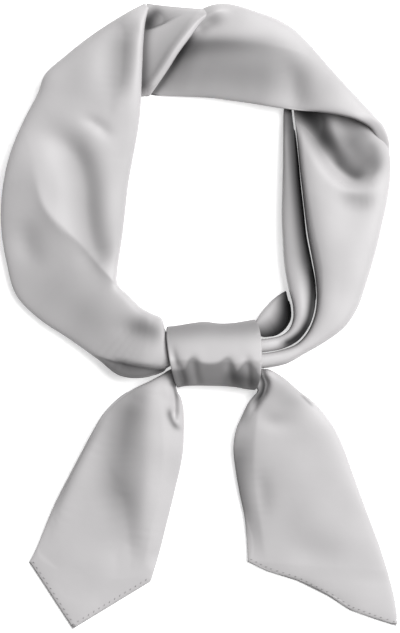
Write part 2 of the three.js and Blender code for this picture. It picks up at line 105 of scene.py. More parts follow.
LEFT_BAND = [
    (-6, -6, 3.2, -6, 11, 3.2, 15, LAPPED, LAPPED, 0),
    (-27.6, -7.4, 3, -29, 11.6, 3, 17, LAPPED, LAPPED, 0),
    (-31.5, -10.2, 0.8, -31.2, 19, 0.8, 20, LAPPED, LAPPED, 0),
    (-40, -13.2, 0, -36.6, 22, 0, 21, LAPPED, LAPPED, 0),
    (-54, -12.6, 0, -43, 25.6, 0, 20, LAPPED, LAPPED, 0),
    (-67, -3.4, 0, -50, 32.5, 0, 19, LAPPED, LAPPED, 0),
    (-83, 8, 0, -55.8, 38.5, 0, 18, LAPPED, LAPPED, 0),
    (-100, 19.3, 0, -56, 46.5, 0, 17, LAPPED, LAPPED, 0),
    (-112, 31.5, 0, -54.8, 55, 0, 17, LAPPED, LAPPED, 0),
    (-118, 51, 0, -53.2, 66, 0, 17, LAPPED, LAPPED, 0),
    (-121, 73, 0, -51.7, 79, 0, 17, LAPPED, LAPPED, 0),
    (-119.7, 93.5, 0, -50, 94, 0, 17, LAPPED, LAPPED, 0),
    (-115.3, 112, 0, -47.6, 107.5, 0, 17, LAPPED, LAPPED, 0),
    (-107.5, 130.5, 0, -45, 121, 1, 17, LAPPED, LAPPED, 0),
    (-100, 145, 0, -43.6, 130.6, 2, 17, LAPPED, LAPPED, 0),
    (-96.8, 154, 0, -43, 138, 2.8, 17, LAPPED, LAPPED, 0),
    (-85, 165, 0, -42.7, 147, 3.5, 17, LAPPED, LAPPED, 0),
    (-70.5, 176.4, 0, -42.2, 160, 4, 16, LAPPED, LAPPED, 0),
    (-57, 185.4, 0, -41.6, 173, 4, 15, LAPPED, LAPPED, 0),
    (-47, 191.3, 0, -40.5, 184, 4, 13, LAPPED, LAPPED, 0),
    (-41, 194.6, 0, -38.8, 191.6, 3, 9, LAPPED, LAPPED, 0),
]
TWIST_PANEL = [
    (-45, 142.6, 0, -38.4, 142.8, 4.6, 5, 0.3, 0.8, 0),
    (-45.3, 148, 0, -34.8, 147.6, 5.6, 6.5, 0.3, 0.8, 0),
    (-45, 158, 0, -27.8, 157.6, 6.5, 8, 0.3, 0.8, 0),
    (-44, 167, 0, -22.2, 166.4, 7, 8.6, 0.3, 0.8, 0),
    (-42.6, 176, 0, -15.8, 175, 6.6, 8.4, 0.3, 0.8, 0),
    (-41.4, 182.6, 0, -10, 182.8, 6, 7.2, 0.3, 0.8, 0),
    (-41.2, 188, 0, -5.2, 187.6, 6.2, 5.8, 0.3, 0.8, -0.4),
    (-40.8, 192.4, 0, -1, 190.2, 6.2, 4.6, 0.3, 0.7, -1),
    (-39.6, 195, 0, 2.4, 191.8, 5.4, 3.4, 0, 0, -1.4),
]
TOP_BAND = [
    (-20, 185.6, 0, -39.4, 144.4, 0, 4.6, LAPPED, LAPPED, 0),
    (-14.4, 189, 0, -34.4, 143.5, 0, 5.2, LAPPED, LAPPED, 0),
    (-9, 191.6, 0, -28, 143.1, 0, 9.2, LAPPED, LAPPED, 0),
    (-3, 193.7, 0, -20.4, 142.8, 0, 12.5, LAPPED, LAPPED, 0),
    (4, 194.2, 0, -12, 142.4, 0, 14, LAPPED, LAPPED, 0),
    (12.5, 192.5, 0, -3, 141.8, 0, 15, LAPPED, LAPPED, 0),
    (22, 189.4, 0, 7, 140.4, 1, 15, LAPPED, LAPPED, 0),
    (32, 185.8, 0, 17, 138.9, 3, 14, LAPPED, LAPPED, 0),
    (42, 180, 0, 26, 137.3, 5.4, 12.5, LAPPED, LAPPED, 0),
    (51, 171.2, 0, 36, 135.8, 5.4, 11.5, LAPPED, LAPPED, 0),
    (60, 160.8, 1, 46, 134.5, 5.4, 11.5, LAPPED, LAPPED, 0),
    (69, 150.6, 3, 56, 133.7, 5.4, 11, LAPPED, LAPPED, 0),
    (77.6, 141.4, 4, 67, 132, 5.6, 10, LAPPED, LAPPED, 0),
    (85.6, 132.8, 4, 77, 129.2, 6.4, 8.4, LAPPED, LAPPED, 0),
    (91.6, 126.4, 3.2, 84.6, 124.8, 3.2, 6.2, LAPPED, LAPPED, 0),
    (94.6, 119, 2.6, 88.4, 118, 1, 4.8, LAPPED, LAPPED, 0),
    (95.2, 111.6, 1.6, 90, 110.6, 0.2, 3.8, LAPPED, LAPPED, 0),
    (94.4, 104, 0.8, 90, 103, 0, 3, LAPPED, LAPPED, 0),
    (92, 97, 0.6, 88.6, 96.4, 0, 2.6, LAPPED, LAPPED, 0),
]
RIGHT_BAND = [
    (84, 130.4, 0, 41.6, 138.2, 0, 6.4, LAPPED, LAPPED, 0),
    (90.4, 122.6, 0, 42.2, 132.6, 0, 6.2, LAPPED, LAPPED, 0),
    (94.6, 113.5, 0, 43.2, 123.9, 0, 9, LAPPED, LAPPED, 0),
    (95.6, 104, 0, 44.2, 112.8, 0, 12.5, LAPPED, LAPPED, 0),
    (95, 94, 0, 45.2, 101.7, 0, 15, LAPPED, LAPPED, 0),
    (93.4, 83.3, 0, 46.4, 90.6, 0, 16, LAPPED, LAPPED, 0),
    (91, 72.8, 0, 47.8, 78.3, 0, 16.5, LAPPED, LAPPED, 0),
    (88.4, 61, 0, 49.4, 66.1, 0, 17, LAPPED, LAPPED, 0),
    (85.2, 49.4, 0, 51.6, 54.4, 0, 17, LAPPED, LAPPED, 0),
    (81.4, 37.2, 0, 53.6, 43, 0, 17, LAPPED, LAPPED, 0),
    (77, 25, 0, 54.5, 31.5, 0, 17, LAPPED, LAPPED, 0),
    (70, 14.6, 0, 53.4, 21.5, 0, 17, LAPPED, LAPPED, 0),
    (60, 7, 0, 49.6, 12.2, 0, 17, LAPPED, LAPPED, 0),
    (48, 0, 0, 43.4, 5.4, 0, 17, LAPPED, LAPPED, 0),
    (37.4, -5.8, 1.5, 35.8, 2.2, 1.5, 16.5, LAPPED, LAPPED, 0),
    (28.6, -7.6, 3.2, 28.6, 0.6, 3.2, 15.5, LAPPED, LAPPED, 0),
    (2, -7.4, 3.2, 2, 0.8, 3.2, 14, LAPPED, LAPPED, 0),
]
INNER_PLEAT = [
    (40.4, 138.6, 0, 36.4, 138.6, 0, 4.6, LAPPED, LAPPED, 0),
    (41.2, 131, 0, 36, 131, 0, 7, LAPPED, LAPPED, 0),
    (42.6, 120, 0, 35.9, 119, 0, 9.5, LAPPED, LAPPED, 0),
    (44, 107, 0, 35.7, 106, 0, 11, LAPPED, LAPPED, 0),
    (45.2, 94, 0, 35.4, 93, 0, 11.5, LAPPED, LAPPED, 0),
    (46.8, 80, 0, 35, 79, 0, 12, LAPPED, LAPPED, 0),
    (48.6, 64, 0, 35.6, 62, 0, 12.5, LAPPED, LAPPED, 0),
    (51.2, 51, 0, 36.5, 49, 0, 13, LAPPED, LAPPED, 0),
    (53.6, 37, 0, 38.6, 37, 0, 13.5, LAPPED, LAPPED, 0),
    (53.4, 25, 0, 41.2, 26.6, 0, 14, LAPPED, LAPPED, 0),
    (50, 14.6, 0, 41.2, 18.6, 0, 14.5, LAPPED, LAPPED, 0),
    (44, 7, 0.5, 38.6, 12.8, 0.5, 15, LAPPED, LAPPED, 0),
    (36, 2.8, 2.2, 33.6, 9.6, 2.2, 15, LAPPED, LAPPED, 0),
    (28.6, 1.2, 3.2, 28, 8.4, 3.2, 15, LAPPED, LAPPED, 0),
    (3, 1.4, 3.2, 3, 8, 3.2, 13, LAPPED, LAPPED, 0),
]
KNOT_WRAP = [
    (-28.3, 15, 0, -22.4, -19, 0, 23.5, 1.12, 1, -2),
    (-23, 15.6, 0, -18.6, -18.2, 0, 24.4, 1.12, 1, -1.4),
    (-15.6, 16.8, 0, -11.6, -17.9, 0, 25, 1.12, 1, -0.6),
    (-8, 17.7, 0, -5, -18, 0, 25, 1.12, 1, 0),
    (0, 16.8, 0, 2, -18.2, 0, 25, 1.12, 1, 0.8),
    (8, 17, 0, 9.6, -18.8, 0, 25, 1.12, 1, 2),
    (14.6, 18, 0, 15.4, -19.9, 0, 25, 1.12, 1, 3.2),
    (19.4, 18.8, 0, 19.6, -20.3, 0, 24.5, 1.12, 1, 4.2),
]
SIDE_FOLD = [
    (6, 13.8, 9, 6, 9.4, 9, 6, 1, 1, 0),
    (18.6, 14.6, 8, 20.6, 9.6, 8, 8, 1, 1, 0),
    (21.8, 20.2, 4, 26.5, 9.6, 4, 10, 1, 1, 0),
    (26.6, 26.4, 1, 33, 11, 1, 12, 1, 1, 0),
    (30.6, 30.4, 0, 37.2, 14.6, 0, 12, 1, 1, 0),
    (34.6, 33.2, 0, 39.8, 20, 0, 10, 1, 1, 0),
    (37.4, 34.8, 0, 39.4, 27.6, 0, 6, 1, 1, 0),
]
LEFT_TAIL = [
    (-8, -8.2, 3.5, -8, -13.6, 4.4, 9, 1, 1, 0),
    (-27.2, -9, 3.5, -23.8, -15.4, 4.9, 11, 1, 1, 0),
    (-31.4, -11.6, 2, -23, -20.8, 2, 12, 1, 1, 0),
    (-38, -15.2, 0.5, -20.8, -24.6, 0.5, 13, 0.95, 0.95, 0),
    (-46.5, -19.2, 0, -19.5, -29.6, 0, 13, 0.9, 0.9, 0),
    (-56, -25.2, 0, -19, -36.4, 0, 12.5, 0.85, 0.85, 0),
    (-64, -33.4, 0, -19.1, -44.4, 0, 11.5, 0.8, 0.8, 0),
    (-70.4, -44, 0, -19.5, -53.6, 0, 10.5, 0.75, 0.75, 0),
    (-77.2, -56.6, 0, -21, -63, 0, 9, 0.7, 0.7, 0),
    (-83.8, -69.2, 0, -23.5, -73.5, 0, 7.6, 0.65, 0.65, 0),
    (-90.4, -82, 0, -26.5, -86, 0, 6.4, 0.55, 0.55, 0),
    (-96, -95, 0, -29.7, -98.5, 0, 5.4, 0.45, 0.45, 0),
    (-100.6, -106.5, 0, -32.6, -110, 0, 4.4, 0.3, 0.3, 0),
    (-105.1, -115.9, 0, -37.4, -126.2, 0, 3.4, 0, 0, 0),
    (-97.5, -127.5, 0, -51.4, -134.7, 0, 2.9, 0, 0, 0),
    (-90, -139.1, 0, -65.8, -143.5, 0, 2.7, 0, 0, 0),
    (-81.9, -151.4, 0, -79.8, -152, 0, 2.5, 0, 0, 0),
]
LEFT_TAIL_CORNERS = (13,)  # the rows at which an outline turns sharply
RIGHT_TAIL = [
    (7, -13.6, 4.4, 7, -8.2, 3.5, 9, 1, 1, 0),
    (19.2, -15.8, 5.2, 22.6, -9.2, 3.5, 11, 1, 1, 0),
    (21.6, -20.8, 2, 27.6, -8.8, 2, 12, 1, 1, 0),
    (19.6, -23.4, 0.5, 35.6, -13, 0.5, 13, 0.9, 1, 0),
    (16.3, -27.8, 0, 44.8, -20.8, 0, 13, 0.8, 1.05, 0),
    (13, -34.6, 0, 53.6, -27.6, 0, 12, 0.7, 1.1, 0),
    (9.6, -42.6, 0, 62.8, -38.8, 0, 11, 0.6, 1.15, 0),
    (8.2, -52.4, 0, 68.6, -50, 0, 9.6, 0.5, 1.2, 0),
    (9.4, -64.5, 0, 73.4, -63, 0, 8.4, 0.45, 1.25, 0),
    (11.6, -77.5, 0, 78.8, -78, 0, 7.2, 0.4, 1.3, 0),
    (14.4, -91, 0, 84.2, -92.5, 0, 6.2, 0.35, 1.35, 0),
    (15.6, -103.6, 0, 89.6, -107, 0, 5.2, 0.25, 1.4, 0),
    (16.3, -115.5, 0, 94.2, -121.4, 0, 4.6, 0.1, 1.45, 0),
    (27.2, -120.9, 0, 95.6, -126.6, 0, 4.2, 0, 1.5, 0),
    (44.3, -126.2, 0, 97, -132, 0, 4, 0, 1.5, 0),
    (61.3, -134.6, 0, 98.4, -138.4, 0, 3.8, 0, 1.5, 0),
    (73.3, -142.4, 0, 99, -142.6, 0, 3.6, 0, 1.3, 0),
    (88.2, -147.8, 0, 99.4, -147, 0, 3.2, 0, 1, 0),
    (95.8, -150.2, 0, 99.2, -150.2, 0, 2.8, 0, 0.6, 0),
]
RIGHT_TAIL_CORNERS = (12,)
LEFT_HEM = [(-105.6, -116.2), (-81.2, -153.6), (-37.6, -127)]
RIGHT_HEM = [
    (16, -116), (27, -121.4), (44, -126.8), (61, -135.2), (73, -143), (88, -148.4), (99, -151.8),
]

# Folds: the points of the line, the height (a valley is negative), the widths to the left and to the
# right of the line as one goes along it, the shares of its length over which the two ends fade, and how
# much of a crease it is (0 is round, 1 is a sharp edge).
# Falls: the points of the line, the slopes with which the cloth falls away to its left and to its right,
# how far that reaches, and the shares over which the two ends fade.
# Shades: painted shade, which darkens the satin's colour along a line: the points of the line, how dark it
# is (0 to 1), the widths to the left and to the right, and the shares over which the two ends fade. The
# narrow ones paint the shade of deep gaps between two layers; the broad and faint ones paint the shade of
# cloth turned away from the light.
LEFT_FOLDS = [
    ([(-104, 106), (-102, 100), (-95, 79), (-90.6, 73.4), (-76.3, 61.4), (-64, 47), (-55, 38)],
     1.4, 12, 4, 0.4, 0.05, 1),
    ([(-102, 126), (-92, 121), (-84, 115), (-77.6, 106), (-74.6, 95), (-73, 78), (-70.6, 62), (-64.6, 47)],
     -4.4, 8, 9.5, 0.3, 0.12, 0.1),
    ([(-54, 185), (-54.4, 168), (-55.4, 152), (-57.4, 138)], -3, 6.5, 10, 0.2, 0.4, 0),
    ([(-76, 131), (-67.4, 126.4), (-58.4, 119)], -1.2, 3.6, 3.6, 0.4, 0.4, 0.2),
    ([(-62, -3), (-52, -6.2), (-43.6, -7.8), (-36, -9), (-27, -9.6)], -4.5, 1.8, 6, 0.3, 0.02, 0.5),
    ([(-58, 12), (-47, 14), (-36, 13)], -1.6, 6, 6, 0.45, 0.4, 0),
    ([(-107, 76), (-106, 60), (-98, 46)], -1.4, 7, 7, 0.45, 0.45, 0),
]
LEFT_FALLS = [
    ([(-110, 116), (-102, 100), (-95, 79), (-90.6, 73.4), (-76.3, 61.4), (-64, 47), (-57, 39.5),
      (-41, 23), (-27, 14)], 0, 0.3, 40, 0.25, 0.2),
]
LEFT_SHADES = [
    ([(-62, -3), (-52, -6.2), (-43.6, -7.8), (-36, -9), (-27, -9.6)], 0.76, 0.8, 12, 0.2, 0),
    ([(-52, 15), (-42, 14), (-32, 10)], 0.53, 6, 6, 0.4, 0.3),
    ([(-88, 121), (-79, 113), (-73, 99), (-70.4, 76), (-65, 50)], 0.34, 9, 12, 0.3, 0.1),
    ([(-53, 182), (-54.6, 156), (-57, 134)], 0.36, 6, 9, 0.3, 0.4),
    ([(-84, 124), (-79.6, 140), (-71, 163), (-62, 180)], 0.12, 12, 13, 0.2, 0.1),
    ([(-100, 44), (-86, 29), (-66, 13), (-48, 3)], 0.26, 13, 16, 0.2, 0.5),
    ([(-108, 70), (-104, 58), (-98, 48)], 0.15, 10, 11, 0.3, 0.3),
    ([(-50, 126), (-52, 100), (-54, 76), (-57, 58)], 0.1, 6, 6, 0.2, 0.2),
]
TWIST_FOLDS = [
    ([(-42, 180.4), (-39, 181), (-36, 181.8), (-30, 183.8), (-24, 186.2)], -5.4, 7, 0.8, 0, 0.8, 0),
    ([(-40.6, 144.6), (-36.8, 150), (-29.8, 160), (-24.2, 168.6), (-17.6, 177.4), (-12.4, 183.8),
      (-7.4, 187.8), (-1.6, 190.6)], 1.3, 2.6, 1.8, 0.1, 0.1, 0),
]
TWIST_SHADES = [
    ([(-43, 180.2), (-39, 180.8), (-36, 181.6), (-30, 183.8), (-23, 186.8)], 0.7, 6.5, 0.6, 0, 0.9),
    ([(-39, 184), (-36.6, 187.6), (-33, 190.6)], 0.72, 3.6, 4, 0, 0.3),
    ([(-43, 144), (-42, 150), (-41.4, 160), (-41, 173), (-39.6, 184), (-38.4, 190)],
     0.62, 3, 3.2, 0.1, 0.1),
    ([(-43, 146.4), (-39.6, 151.4), (-32.8, 161.2), (-27.2, 170), (-20.8, 178.6), (-14, 186)],
     0.27, 11, 2.4, 0.1, 0.2),
]
TOP_FOLDS = [
    ([(-14, 180), (-8.4, 186), (-2, 189.8), (7, 191.6)], 2.2, 2.8, 3.2, 0.25, 0.4, 0),
    ([(-13, 178.5), (-6, 183), (2, 185.6)], -2, 3, 3.6, 0.3, 0.45, 0),
    ([(36, 164), (41, 151), (45, 136)], -2.2, 7, 7, 0.4, 0.2, 0),
]
TOP_FALLS = [
    ([(-34, 171), (-18, 173), (0, 173.4), (24, 172), (50, 166), (74, 158)], 0, 0.34, 26, 0, 0.5),
]
TOP_SHADES = [
    ([(-30, 158), (0, 156), (30, 154), (52, 149), (72, 140)], 0.45, 15, 16, 0, 0.5),
    ([(-27, 168), (-19, 171), (-6, 171.6), (12, 171.4), (30, 170.5), (50, 168)], 0.56, 4.5, 6.5, 0, 0.7),
    ([(-37.4, 143), (-33.8, 147.6), (-26.8, 157.6), (-21.2, 166.4), (-15.4, 174.6), (-11, 180)],
     0.72, 3, 2.3, 0, 0.2),
    ([(-24, 165), (-16, 168.6), (-4, 170.2)], 0.52, 5, 6, 0, 0.8),
    ([(-11, 179.6), (-5, 183.2), (2, 185.6)], 0.34, 2.6, 3, 0.2, 0.4),
]
RIGHT_FOLDS = [
    ([(45, 137), (50, 128), (55.4, 118), (61, 109), (67, 101.6), (74, 96.8), (82, 96.4), (87, 101)],
     -6, 10, 4.6, 0.05, 0.3, 0),
    ([(58, 137), (60.4, 131), (64, 121.4), (71.4, 107)], 2.8, 4.6, 4.6, 0.5, 0.3, 0),
    ([(66, 86), (76, 84), (86, 85)], -1.6, 5, 5, 0.45, 0.45, 0),
]
RIGHT_FALLS = [
    ([(53, 140), (47.5, 122), (48.5, 100), (53, 70), (58, 44), (57, 30), (52, 16)], 0, 0.3, 9, 0.1, 0.2),
]
RIGHT_SHADES = [
    ([(47, 135.6), (51.6, 130.4), (56, 124), (59.4, 118), (63.4, 111.4), (66.6, 107)], 0.8, 6, 5.4, 0, 0.4),
    ([(61, 115), (64.6, 109.6), (69.4, 103.4), (76, 98.8), (83.6, 98.6)], 0.74, 6, 3.2, 0.4, 0.25),
    ([(66, 128), (75, 124.4), (83, 119)], 0.32, 4.5, 6, 0.2, 0.2),
    ([(46, 135), (54, 131), (60, 128)], 0.6, 5, 5, 0.2, 0.3),
    ([(48, 133), (54, 126), (59, 117.4), (64, 110)], 0.55, 6, 6, 0.1, 0.5),
    ([(72, 118), (79, 111), (84, 105.6)], 0.62, 8.6, 9, 0.1, 0.1),
    ([(84.6, 117), (87, 110), (86.4, 102)], 0.34, 4, 4, 0.2, 0.2),
    ([(50, 134), (68, 131), (80, 126.5), (88, 121)], 0.36, 4, 5, 0.1, 0.3),
    ([(43, 130), (44.8, 106), (46.6, 89), (49.4, 66), (53.4, 44), (55, 28), (51, 12)], 0.32, 2, 2, 0, 0.2),
    ([(46, 130), (49, 100), (53, 66), (57, 44), (58, 28)], 0.14, 5, 5, 0, 0.2),
    ([(66, 87), (76, 84.5), (86, 85)], 0.32, 6, 6, 0.4, 0.4),
]
PLEAT_FOLDS = [
    ([(41, 128), (43.4, 108), (46, 84), (50.4, 52), (52.4, 34), (50, 16)], -4, 5, 4, 0.1, 0.2, 0),
]
PLEAT_SHADES = [
    ([(40.6, 136), (42.2, 122), (43.2, 108), (44.6, 92), (46.6, 74), (49.4, 54), (52, 38), (52.4, 28)],
     0.94, 5.4, 6.2, 0, 0.25),
    ([(49, 56), (51.8, 40), (51.6, 28), (49.8, 18.6), (45.4, 10.6), (39.2, 6.4), (33, 4.6)],
     0.96, 4.4, 2.7, 0.2, 0.1),
    ([(40, 134), (42, 100), (44, 60), (47, 36)], 0.2, 9, 9, 0, 0.3),
    ([(36.6, 4.4), (42, 7.6), (46.8, 12), (50.4, 18.6)], 0.93, 2.2, 3.2, 0.4, 0.3),
]
WRAP_FOLDS = [
    ([(-25.6, 6), (-24, -3), (-21.2, -9), (-19, -18)], -1.6, 1.8, 2.2, 0.45, 0, 0.3),
    ([(-14, -1), (-13.5, -8), (-11, -18)], -1.4, 2.4, 2.6, 0.3, 0, 0.1),
    ([(5.4, -2), (6, -8), (8, -18)], -1.2, 2.6, 2.4, 0.3, 0, 0.1),
    ([(15.6, -1), (16, -8), (16.4, -18)], -1.4, 2.2, 2.2, 0.3, 0, 0.1),
]
WRAP_FALLS = [
    ([(-30, -4), (-18, -3), (-8, -4.5), (4, -4), (10, -5), (16, -3), (22, -4)], 0, 0.55, 30, 0, 0),
    ([(-30, 8), (-16, 9), (0, 9.4), (20, 10)], 0.3, 0, 30, 0, 0),
]
WRAP_SHADES = [
    ([(-24, -10), (-18.6, -9.5), (-14.6, -3), (-9, -6), (0, -6), (4.8, -3), (10.2, -10.5), (15.6, -5.5),
      (20, -9)], 0.48, 1.5, 9, 0, 0),
    ([(-24, -15), (-6, -15.4), (10, -16), (20, -16.6)], 0.36, 6.5, 8, 0, 0),
    ([(5, -12), (12, -14), (20, -16)], 0.6, 4.5, 5, 0.2, 0),
    ([(-28, 14), (-10, 15), (8, 15), (21, 16)], 0.48, 5, 7.5, 0, 0),
    ([(-24, -2), (-22.4, -8), (-20, -17)], 0.34, 1.2, 1.4, 0.3, 0),
]
SIDE_FOLD_FOLDS = [([(27, 10), (33, 13), (38, 20), (39.5, 27)], -6, 6, 5, 0.2, 0.1, 0)]
SIDE_FOLD_SHADES = [
    ([(22, 9), (30, 9.6), (36, 14.4), (38.8, 21), (39.6, 34)], 0.96, 8.6, 6.4, 0, 0),
    ([(30, 8), (35, 13), (37.6, 20), (38, 32)], 0.84, 3.6, 4, 0, 0),
]
LEFT_TAIL_FOLDS = [
    ([(-49, -20), (-54, -34), (-56, -50), (-57, -70)], -2.8, 9, 11, 0.1, 0.45, 0),
    ([(-57, -70), (-53, -90), (-50, -118)], -1.8, 6.5, 12, 0.3, 0.3, 0),
    ([(-37, -14), (-39, -32), (-39, -55), (-40, -80), (-42, -116)], 1.6, 8, 7, 0.1, 0.3, 0),
    ([(-66, -40), (-76, -58), (-85, -80), (-93, -100)], 1.4, 9, 4, 0.3, 0.3, 0),
    ([(-26, -14), (-24.4, -27), (-25, -40)], -2.2, 2, 2.4, 0.2, 0.3, 0.2),
]
LEFT_TAIL_FALLS = [([(-34, -18), (-31, -50), (-36, -90), (-43, -120)], 0.26, 0, 12, 0.2, 0.1)]
LEFT_TAIL_SHADES = [
    ([(-27.4, -29), (-26.4, -36), (-23.6, -40.4), (-20, -42)], 0.6, 1.4, 1.8, 0.3, 0.3),
    ([(-32, -9), (-27, -13), (-24, -20), (-22, -27)], 0.5, 1.6, 1.4, 0, 0.3),
    ([(-49, -24), (-53, -45), (-54, -70), (-53, -112)], 0.46, 9.5, 14, 0.1, 0.45),
    ([(-62, -33), (-72, -50), (-84, -74), (-92, -96)], 0.22, 2.4, 4, 0.3, 0.3),
]
RIGHT_TAIL_FOLDS = [
    ([(24, -8), (24.4, -12), (26.2, -16), (25.4, -21), (21.5, -27), (18.5, -34)],
     -4.5, 1.8, 3, 0.1, 0.3, 0.5),
    ([(21, -60), (23, -76), (24, -96)], -2, 6, 6, 0.45, 0.45, 0),
    ([(22, -34), (32, -38), (44, -36)], -1, 5, 5, 0.45, 0.45, 0),
    ([(36, -106), (54, -112), (72, -112)], -1, 9, 9, 0.45, 0.45, 0),
]
RIGHT_TAIL_FALLS = [([(24, -12), (22, -34), (20, -60), (24, -96), (28, -120)], 0, 0.3, 10, 0.1, 0.2)]
RIGHT_TAIL_SHADES = [
    ([(22.6, -8), (23.8, -12), (25.4, -16.5), (24.8, -21), (21.4, -27), (18.4, -33)],
     0.95, 0.9, 2.8, 0, 0.4),
    ([(20, -18), (16, -30), (12, -42)], 0.34, 4, 4, 0.1, 0.3),
    ([(12, -42), (10, -60), (12, -80), (16, -104)], 0.58, 8, 6, 0.3, 0.3),
    ([(45, -22), (53, -30)], 0.35, 0.8, 0.8, 0.3, 0.3),
    ([(29, -17), (37, -22), (45, -31)], 0.28, 8, 8, 0.3, 0.4),
    ([(26, -36), (36, -38)], 0.14, 5, 5, 0.4, 0.4),
    ([(24, -64), (40, -94), (57, -118)], 0.1, 22, 20, 0.2, 0.2),
]


def linear(hex_colour):
    """The linear colour of an sRGB hex value."""
    parts = [int(hex_colour[k:k + 2], 16) / 255 for k in (1, 3, 5)]
    return [c / 12.92 if c <= 0.04045 else ((c + 0.055) / 1.055) ** 2.4 for c in parts]


class SCARF_PG_sizes(bpy.types.PropertyGroup):
    """The sizes of the scarf that a user would change."""

    wall: FloatProperty(name="Cloth wall", description="Thickness of one folded layer of satin",
                        default=0.6 * MM, min=0.1 * MM, subtype="DISTANCE", unit="LENGTH")
    step: FloatProperty(name="Mesh step", description="Length of a mesh face along the cloth",
                        default=1.1 * MM, min=0.5 * MM, subtype="DISTANCE", unit="LENGTH")
    hem_width: FloatProperty(name="Hem width", description="Width of the rolled hem",
                             default=3.0 * MM, min=1.0 * MM, subtype="DISTANCE", unit="LENGTH")
    hem_height: FloatProperty(name="Hem height", description="Height of the rolled hem",
                              default=1.7 * MM, min=0.6 * MM, subtype="DISTANCE", unit="LENGTH")
    stitch_pitch: FloatProperty(name="Stitch pitch", description="Distance between two hem stitches",
                                default=3.4 * MM, min=1.5 * MM, subtype="DISTANCE", unit="LENGTH")
    stitch_inset: FloatProperty(name="Stitch inset", description="Distance of the stitches from the edge",
                                default=2.3 * MM, min=1.0 * MM, subtype="DISTANCE", unit="LENGTH")
    stitch_length: FloatProperty(name="Stitch length", description="Length of one hem stitch",
                                 default=1.5 * MM, min=0.5 * MM, subtype="DISTANCE", unit="LENGTH")


class SCARF_PG_colours(bpy.types.PropertyGroup):
    """The colours of the scarf, as linear colours."""

    satin: FloatVectorProperty(name="Satin", description="Colour of the satin", size=3,
                               default=linear("#BDBBBC"), min=0, max=1, subtype="COLOR")
    hem: FloatVectorProperty(name="Rolled hem", description="Colour of the rolled hem", size=3,
                             default=linear("#B8B6B7"), min=0, max=1, subtype="COLOR")
    thread: FloatVectorProperty(name="Thread", description="Colour of the sewing thread", size=3,
                                default=linear("#A6A4A5"), min=0, max=1, subtype="COLOR")


def ramp(low, high, x):
    """0 below low and 1 above high, with a smooth rise between them."""
    t = np.clip((x - low) / (high - low), 0, 1)
    return t * t * (3 - 2 * t)


def through(knots, values, at):
    """A smooth curve through the values at uneven knots, read at the stations `at`."""
    knots, values = np.asarray(knots, float), np.asarray(values, float)
    if len(knots) == 2:
        share = ((at - knots[0]) / (knots[1] - knots[0]))[:, None]
        return values[0] * (1 - share) + values[1] * share
    runs = np.diff(knots)[:, None]
    slopes = np.diff(values, axis=0) / runs
    inner = (slopes[:-1] * runs[1:] + slopes[1:] * runs[:-1]) / (runs[:-1] + runs[1:])
    tangents = np.vstack([2 * slopes[:1] - inner[:1], inner, 2 * slopes[-1:] - inner[-1:]])
    tangents[0] = (tangents[0] + slopes[0]) / 2
    tangents[-1] = (tangents[-1] + slopes[-1]) / 2
    k = np.clip(np.searchsorted(knots, at, side="right") - 1, 0, len(knots) - 2)
    t = ((at - knots[k]) / (knots[k + 1] - knots[k]))[:, None]
    h = runs[k]
    return (values[k] * (2 * t**3 - 3 * t**2 + 1) + values[k + 1] * (3 * t**2 - 2 * t**3)
            + tangents[k] * h * (t**3 - 2 * t**2 + t) + tangents[k + 1] * h * (t**3 - t**2))


def stations(rows, corners, step):
    """Sections at an even step along a band. The outline may turn sharply at the corner rows."""
    rows = np.asarray(rows, float)
    moves = np.hypot(*np.diff(rows[:, 0:2], axis=0).T) + np.hypot(*np.diff(rows[:, 3:5], axis=0).T)
    knots = np.concatenate([[0], np.cumsum(moves / 2)])
    ends = [0, *corners, len(rows) - 1]
    parts = []
    for first, last in zip(ends, ends[1:]):
        count = max(2, round((knots[last] - knots[first]) / step))
        at = np.linspace(knots[first], knots[last], count + 1)
        part = through(knots[first:last + 1], rows[first:last + 1], at)
        parts.append(part if first == 0 else part[1:])
    return np.vstack(parts)


def beside(line, x, y):
    """How far the points (x, y) lie from each short run of a line, how far along the line that is, which
    run is the nearest, and how far to the left of that run's direction the points lie."""
    line = np.asarray(line, float)
    knots = np.concatenate([[0], np.cumsum(np.hypot(*np.diff(line, axis=0).T))])
    points = through(knots, line, np.linspace(0, knots[-1], LINE_RUNS * (len(line) - 1) + 1))
    px, py = (points[:-1, k, None, None] for k in (0, 1))
    rx, ry = (np.diff(points[:, k])[:, None, None] for k in (0, 1))
    t = np.clip(((x - px) * rx + (y - py) * ry) / (rx * rx + ry * ry), 0, 1)
    distance = np.hypot(x - px - t * rx, y - py - t * ry)
    share = (np.arange(len(points) - 1)[:, None, None] + t) / (len(points) - 1)
    nearest = distance.argmin(axis=0)[None]
    offsets = (rx * (y - py) - ry * (x - px)) / np.hypot(rx, ry)
    return distance, share, nearest, np.take_along_axis(offsets, nearest, 0)[0]


def sided(left, right, offset):
    """The left or the right value, with a smooth change over near the line."""
    blend = SIDE_BLEND * min(left, right)
    return right + (left - right) * ramp(-blend, blend, offset)


def faded(share, fade_in, fade_out):
    """1 in the middle of a line, falling to 0 over the given shares at its ends."""
    start = ramp(0, fade_in, share) if fade_in else 1
    return start * (ramp(0, fade_out, 1 - share) if fade_out else 1)


def fold_relief(folds, x, y):
    """The height that all the folds add at the points (x, y)."""
    total = np.zeros_like(x)
    for line, height, left, right, fade_in, fade_out, crease in folds:
        distance, share, _, offset = beside(line, x, y)
        width = sided(left, right, offset)
        edge = np.exp(-(np.hypot(distance, CREASE_ROUND) - CREASE_ROUND) / width)
        profile = crease * edge + (1 - crease) * np.exp(-(distance / width) ** 2)
        total += height * (faded(share, fade_in, fade_out) * profile).max(axis=0)
    return total


